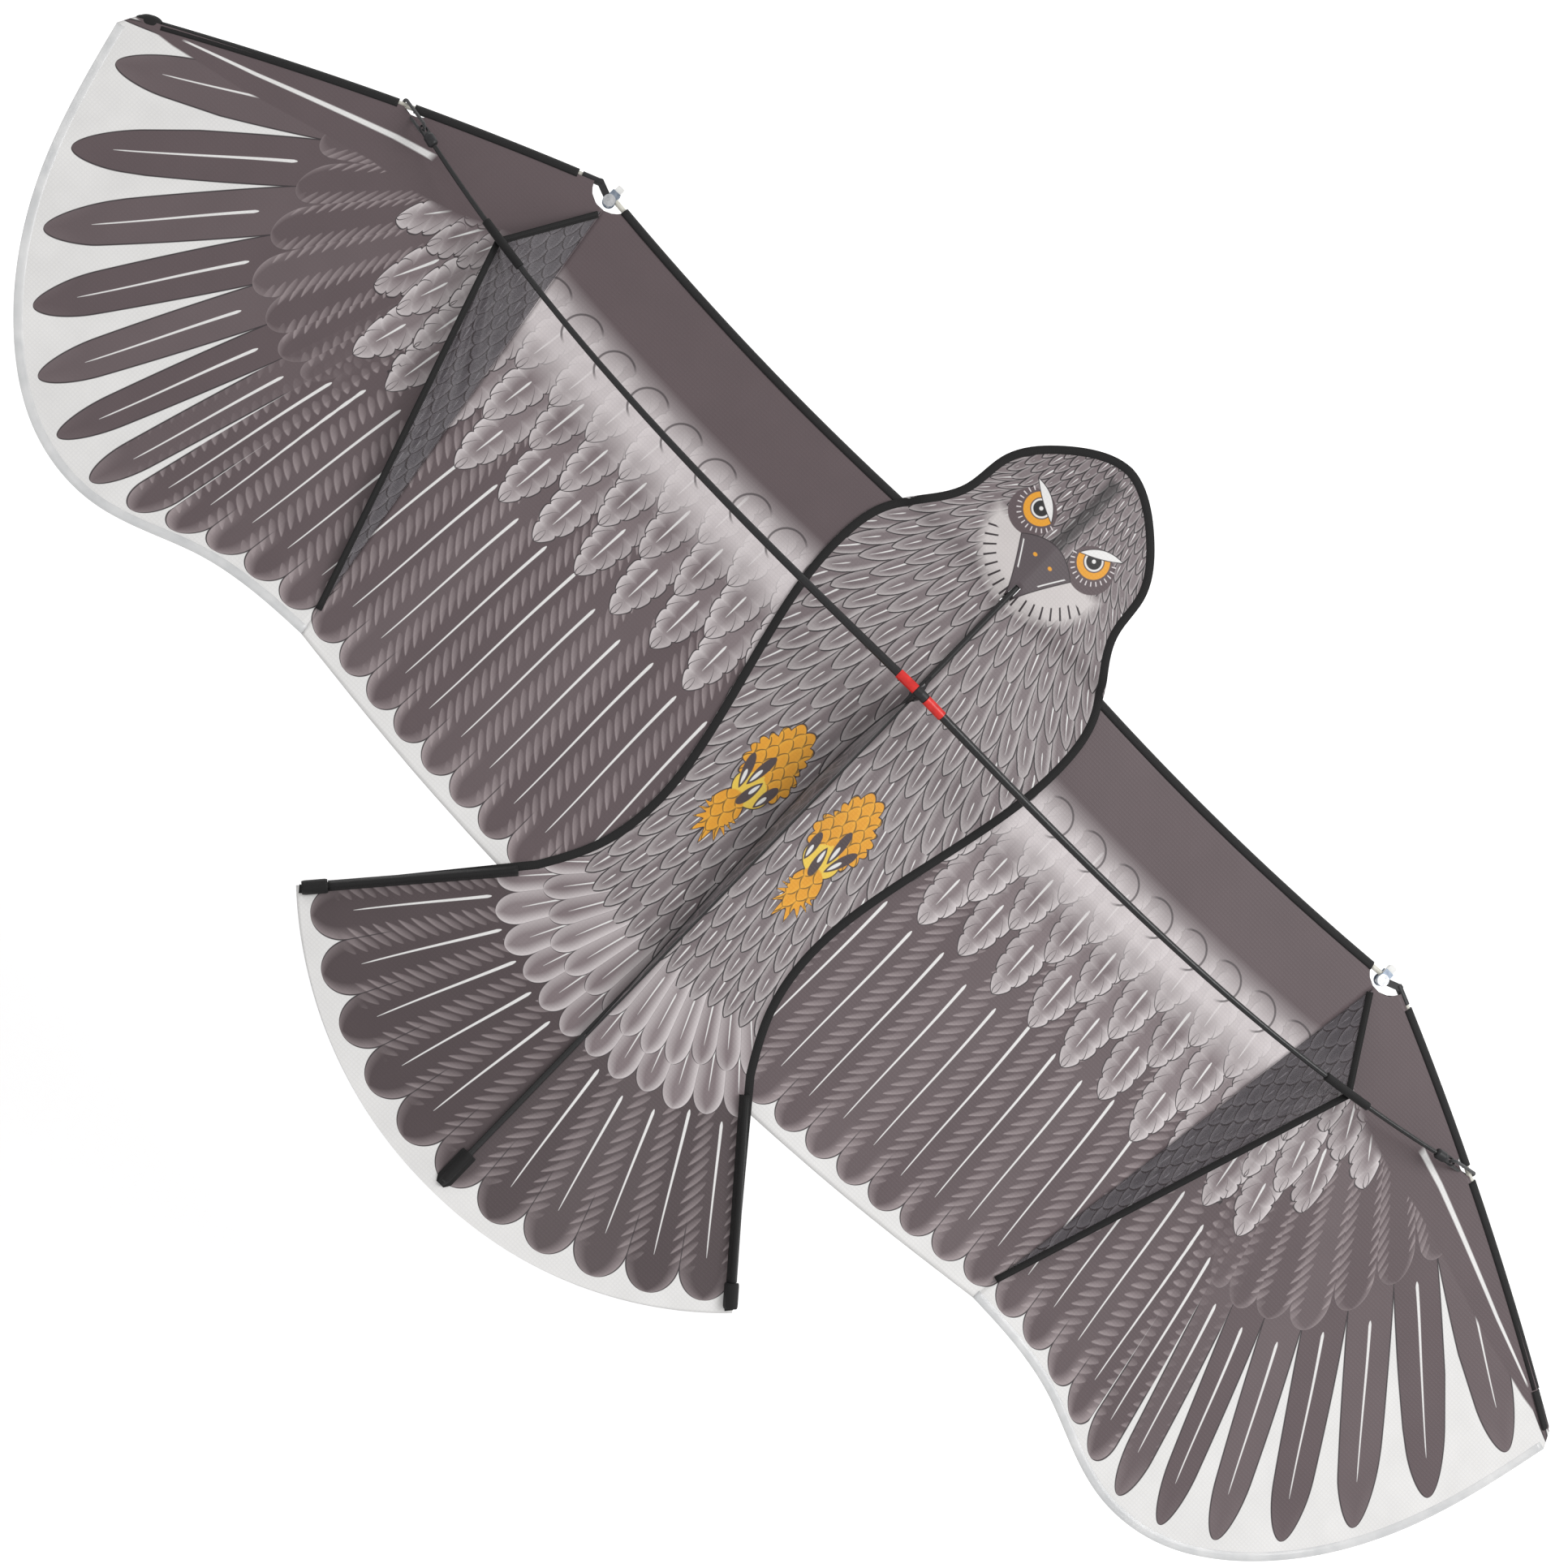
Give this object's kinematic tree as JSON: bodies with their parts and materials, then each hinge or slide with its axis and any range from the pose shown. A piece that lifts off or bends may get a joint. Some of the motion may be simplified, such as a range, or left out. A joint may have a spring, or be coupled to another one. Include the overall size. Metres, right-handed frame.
{
  "type": "bird scarer kite",
  "caption": "Hawk-shaped kite that scares birds: cloth body and wings on rods, a two-part spar, a keel with a tow eyelet and wing tips that fold back",
  "frame": {"origin": "centre of the tow eyelet in the nose of the keel, from which the kite hangs on its line", "axes": "+X towards one wing tip, +Y towards the head along the spine rod, +Z away from the kite's printed back, on the side where the frame is seen"},
  "size_m": [1.31, 0.64, 0.1151],
  "materials": {
    "sail_cloth": "thin printed nylon, satin",
    "wing_cloth": "thin printed nylon, satin",
    "keel_cloth": "thin black nylon, see-through against the light",
    "fin_cloth": "thin dark nylon, see-through against the light",
    "black_tape": "woven black binding tape",
    "tip_cloth": "doubled black pocket cloth",
    "clear_tape": "clear film tape",
    "black_rod": "smooth black composite rod",
    "white_rod": "white glass-fibre rod",
    "black_plastic": "moulded black plastic",
    "red_band": "red tape wound round the spar",
    "clear_plastic": "milky moulded plastic",
    "blue_steel": "blued sheet steel",
    "bright_steel": "bright steel",
    "dull_steel": "drawn steel wire",
    "stretch_cord": "braided stretch cord"
  },
  "bodies": {
    "frame": {"body_sail": "sail_cloth", "body_binding": "black_tape", "tail_hem": "clear_tape", "head_pocket": "black_tape", "tail_pocket": "black_tape", "spine_rod": "black_rod", "nose_joiner": "black_plastic", "joiner_pin": "dull_steel", "spar_joiner": "black_plastic", "keel_nose": "black_plastic", "keel": "keel_cloth", "keel_binding": "black_tape", "tow_eyelet": "bright_steel", "wing_panel_inner_left": "wing_cloth", "wing_panel_inner_right": "wing_cloth", "wing_panel_outer_left": "wing_cloth", "wing_panel_outer_right": "wing_cloth", "wing_hem_inner_left": "clear_tape", "wing_hem_inner_right": "clear_tape", "wing_hem_outer_left": "clear_tape", "wing_hem_outer_right": "clear_tape", "le_rod_inner_left": "white_rod", "le_rod_inner_right": "white_rod", "le_sleeve_inner_left": "black_tape", "le_sleeve_inner_right": "black_tape", "tail_rod_left": "black_rod", "tail_rod_right": "black_rod", "tail_sleeve_left": "black_tape", "tail_sleeve_right": "black_tape", "tail_corner_left": "black_tape", "tail_corner_right": "black_tape", "fin_left": "fin_cloth", "fin_right": "fin_cloth", "fin_binding_left": "black_tape", "fin_binding_right": "black_tape", "spar_sleeve_left": "black_tape", "spar_sleeve_right": "black_tape", "wrist_plates_left": "blue_steel", "wrist_plates_right": "blue_steel", "wrist_block_left": "clear_plastic", "wrist_block_right": "clear_plastic", "wrist_rivet_left": "bright_steel", "wrist_rivet_right": "bright_steel"},
    "spar_left": {"spar_half_left": "black_rod", "marker_band_left": "red_band", "spar_nock_left": "black_plastic"},
    "wingtip_left": {"le_rod_outer_left": "white_rod", "le_sleeve_outer_left": "black_tape", "tip_pocket_left": "tip_cloth", "outer_rod_eye_left": "black_plastic", "bungee_left": "stretch_cord"},
    "spar_right": {"spar_half_right": "black_rod", "marker_band_right": "red_band", "spar_nock_right": "black_plastic"},
    "wingtip_right": {"le_rod_outer_right": "white_rod", "le_sleeve_outer_right": "black_tape", "tip_pocket_right": "tip_cloth", "outer_rod_eye_right": "black_plastic", "bungee_right": "stretch_cord"}
  },
  "joints": [
    {"name": "wing_fold_left", "type": "hinge", "parent": "frame", "child": "wingtip_left", "pos_m": [-0.35561, 0.08949, -0.06017], "axis": [-0.0981, 0.0028, 0.9952], "range_deg": [0, 73], "deforming": ["wing_panel_outer_left", "wing_hem_outer_left", "bungee_left"]},
    {"name": "spar_slide_left", "type": "slide", "parent": "frame", "child": "spar_left", "axis": [-0.995, 0, -0.0995], "range_m": [0, 0.022], "deforming": ["spar_sleeve_left", "fin_left", "fin_binding_left", "bungee_left"]},
    {"name": "wing_fold_right", "type": "hinge", "parent": "frame", "child": "wingtip_right", "pos_m": [0.35561, 0.08949, -0.06017], "axis": [-0.0981, -0.0028, -0.9952], "range_deg": [0, 73], "deforming": ["wing_panel_outer_right", "wing_hem_outer_right", "bungee_right"]},
    {"name": "spar_slide_right", "type": "slide", "parent": "frame", "child": "spar_right", "axis": [0.995, 0, -0.0995], "range_m": [0, 0.022], "deforming": ["spar_sleeve_right", "fin_right", "fin_binding_right", "bungee_right"]}
  ]
}
